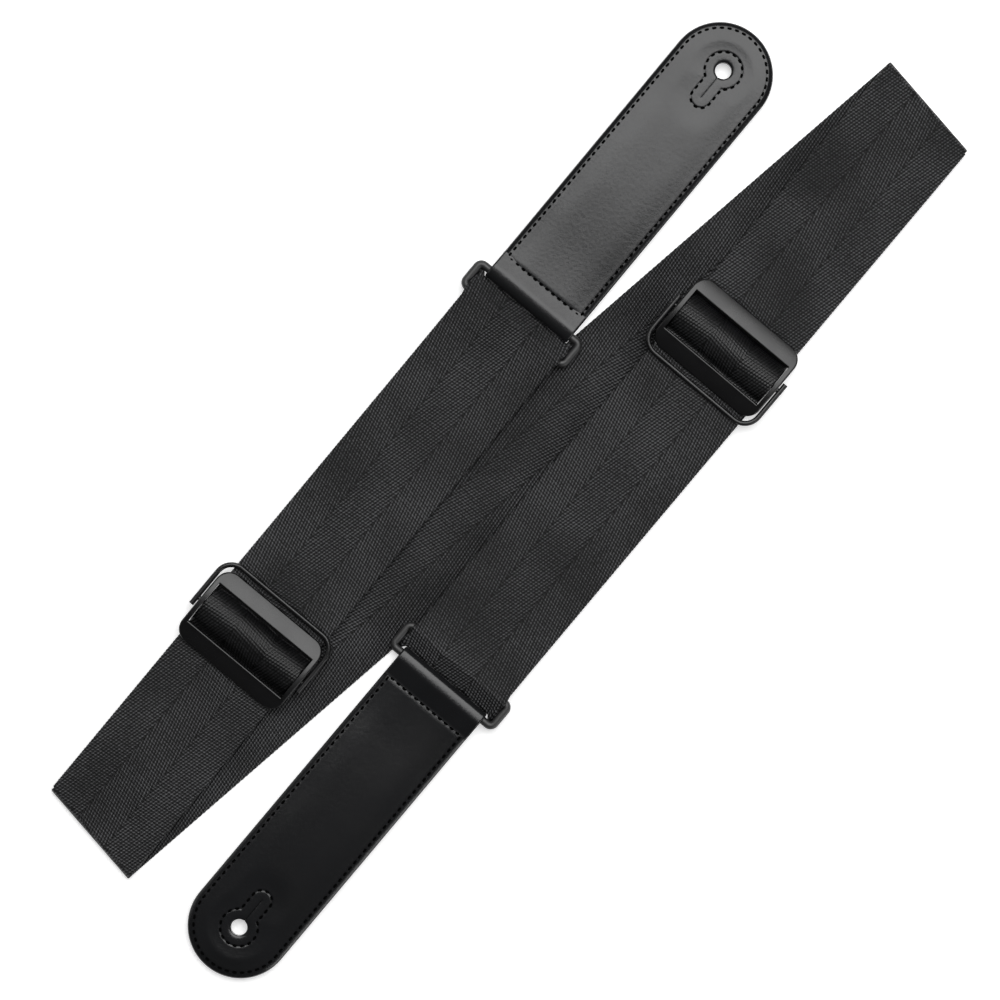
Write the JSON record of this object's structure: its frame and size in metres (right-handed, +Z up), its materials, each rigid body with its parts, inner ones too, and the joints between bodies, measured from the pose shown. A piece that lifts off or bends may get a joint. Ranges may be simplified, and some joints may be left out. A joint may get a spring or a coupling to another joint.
{
  "type": "guitar strap",
  "caption": "Webbing guitar strap folded flat in a Z, with sliders, rings and stitched leather end tabs that have button holes.",
  "frame": {"origin": "bottom centre of the strap's bounding box as it lies folded, on the surface it rests on", "axes": "+X along the folded strap towards the right end's leather tab, +Y across it towards the right end, +Z up"},
  "size_m": [0.4788, 0.1358, 0.0103],
  "materials": {
    "webbing": "woven twill, slight sheen",
    "leather": "smooth satin",
    "core": "raw board",
    "hardware": "black satin",
    "thread": "waxed thread"
  },
  "bodies": {
    "strap_middle": {"webbing_middle": "webbing"},
    "run_right": {"webbing_fold_right": "webbing", "webbing_run_right": "webbing"},
    "slider_right": {"slider_frame_right": "hardware", "slider_bar_right": "hardware", "webbing_hump_right": "webbing", "webbing_sewn_end_right": "webbing", "sewn_end_seam_right": "thread"},
    "bail_right": {"bail_right": "hardware"},
    "loop_right": {"webbing_front_right": "webbing", "webbing_return_right": "webbing", "webbing_loop_right": "webbing"},
    "ring_right": {"ring_right": "hardware"},
    "tab_right": {"leather_front_right": "leather", "leather_core_right": "core", "leather_back_right": "leather", "edge_stitches_right": "thread", "keyhole_stitches_right": "thread"},
    "run_left": {"webbing_fold_left": "webbing", "webbing_run_left": "webbing"},
    "slider_left": {"slider_frame_left": "hardware", "slider_bar_left": "hardware", "webbing_hump_left": "webbing", "webbing_sewn_end_left": "webbing", "sewn_end_seam_left": "thread"},
    "bail_left": {"bail_left": "hardware"},
    "loop_left": {"webbing_front_left": "webbing", "webbing_return_left": "webbing", "webbing_loop_left": "webbing"},
    "ring_left": {"ring_left": "hardware"},
    "tab_left": {"leather_front_left": "leather", "leather_core_left": "core", "leather_back_left": "leather", "edge_stitches_left": "thread", "keyhole_stitches_left": "thread"}
  },
  "joints": [
    {"name": "fold_right", "type": "hinge", "parent": "strap_middle", "child": "run_right", "pos_m": [-0.22796, 0.03205, 0.0021], "axis": [-0.1402, -0.9901, 0], "range_deg": [0, 180], "deforming": ["webbing_fold_right"]},
    {"name": "slider_slide_right", "type": "slide", "parent": "run_right", "child": "slider_right", "axis": [0.9997, 0.0227, 0], "range_m": [-0.06, 0.1], "deforming": ["webbing_run_right"]},
    {"name": "bail_swing_right", "type": "hinge", "parent": "slider_right", "child": "bail_right", "pos_m": [-0.12306, 0.03477, 0.0061], "axis": [0.0227, -0.9997, 0], "range_deg": [0, 150]},
    {"name": "ring_follow_right", "type": "slide", "parent": "slider_right", "child": "loop_right", "axis": [0.9997, 0.0227, 0], "range_m": [-0.0505, 0.0305], "deforming": ["webbing_front_right", "webbing_return_right"]},
    {"name": "ring_tilt_right", "type": "hinge", "parent": "loop_right", "child": "ring_right", "pos_m": [0.05054, 0.03871, 0.00475], "axis": [0.0227, -0.9997, 0], "range_deg": [0, 80]},
    {"name": "tab_tilt_right", "type": "hinge", "parent": "ring_right", "child": "tab_right", "pos_m": [0.06204, 0.03897, 0.00475], "axis": [0.0227, -0.9997, 0], "range_deg": [0, 80]},
    {"name": "fold_left", "type": "hinge", "parent": "strap_middle", "child": "run_left", "pos_m": [0.23384, -0.03335, 0.0021], "axis": [0.1402, 0.9901, 0], "range_deg": [0, 180], "deforming": ["webbing_fold_left"]},
    {"name": "slider_slide_left", "type": "slide", "parent": "run_left", "child": "slider_left", "axis": [-0.9999, -0.0166, 0], "range_m": [-0.06, 0.1], "deforming": ["webbing_run_left"]},
    {"name": "bail_swing_left", "type": "hinge", "parent": "slider_left", "child": "bail_left", "pos_m": [0.10223, -0.03586, 0.0061], "axis": [-0.0166, 0.9999, 0], "range_deg": [0, 150]},
    {"name": "ring_follow_left", "type": "slide", "parent": "slider_left", "child": "loop_left", "axis": [-0.9999, -0.0166, 0], "range_m": [-0.0505, 0.0305], "deforming": ["webbing_front_left", "webbing_return_left"]},
    {"name": "ring_tilt_left", "type": "hinge", "parent": "loop_left", "child": "ring_left", "pos_m": [-0.07309, -0.03877, 0.00475], "axis": [-0.0166, 0.9999, 0], "range_deg": [0, 80]},
    {"name": "tab_tilt_left", "type": "hinge", "parent": "ring_left", "child": "tab_left", "pos_m": [-0.08459, -0.03896, 0.00475], "axis": [-0.0166, 0.9999, 0], "range_deg": [0, 80]}
  ],
  "couplings": [
    {"joint": "ring_follow_right", "follows": "slider_slide_right", "ratio": -0.5},
    {"joint": "ring_follow_left", "follows": "slider_slide_left", "ratio": -0.5}
  ]
}
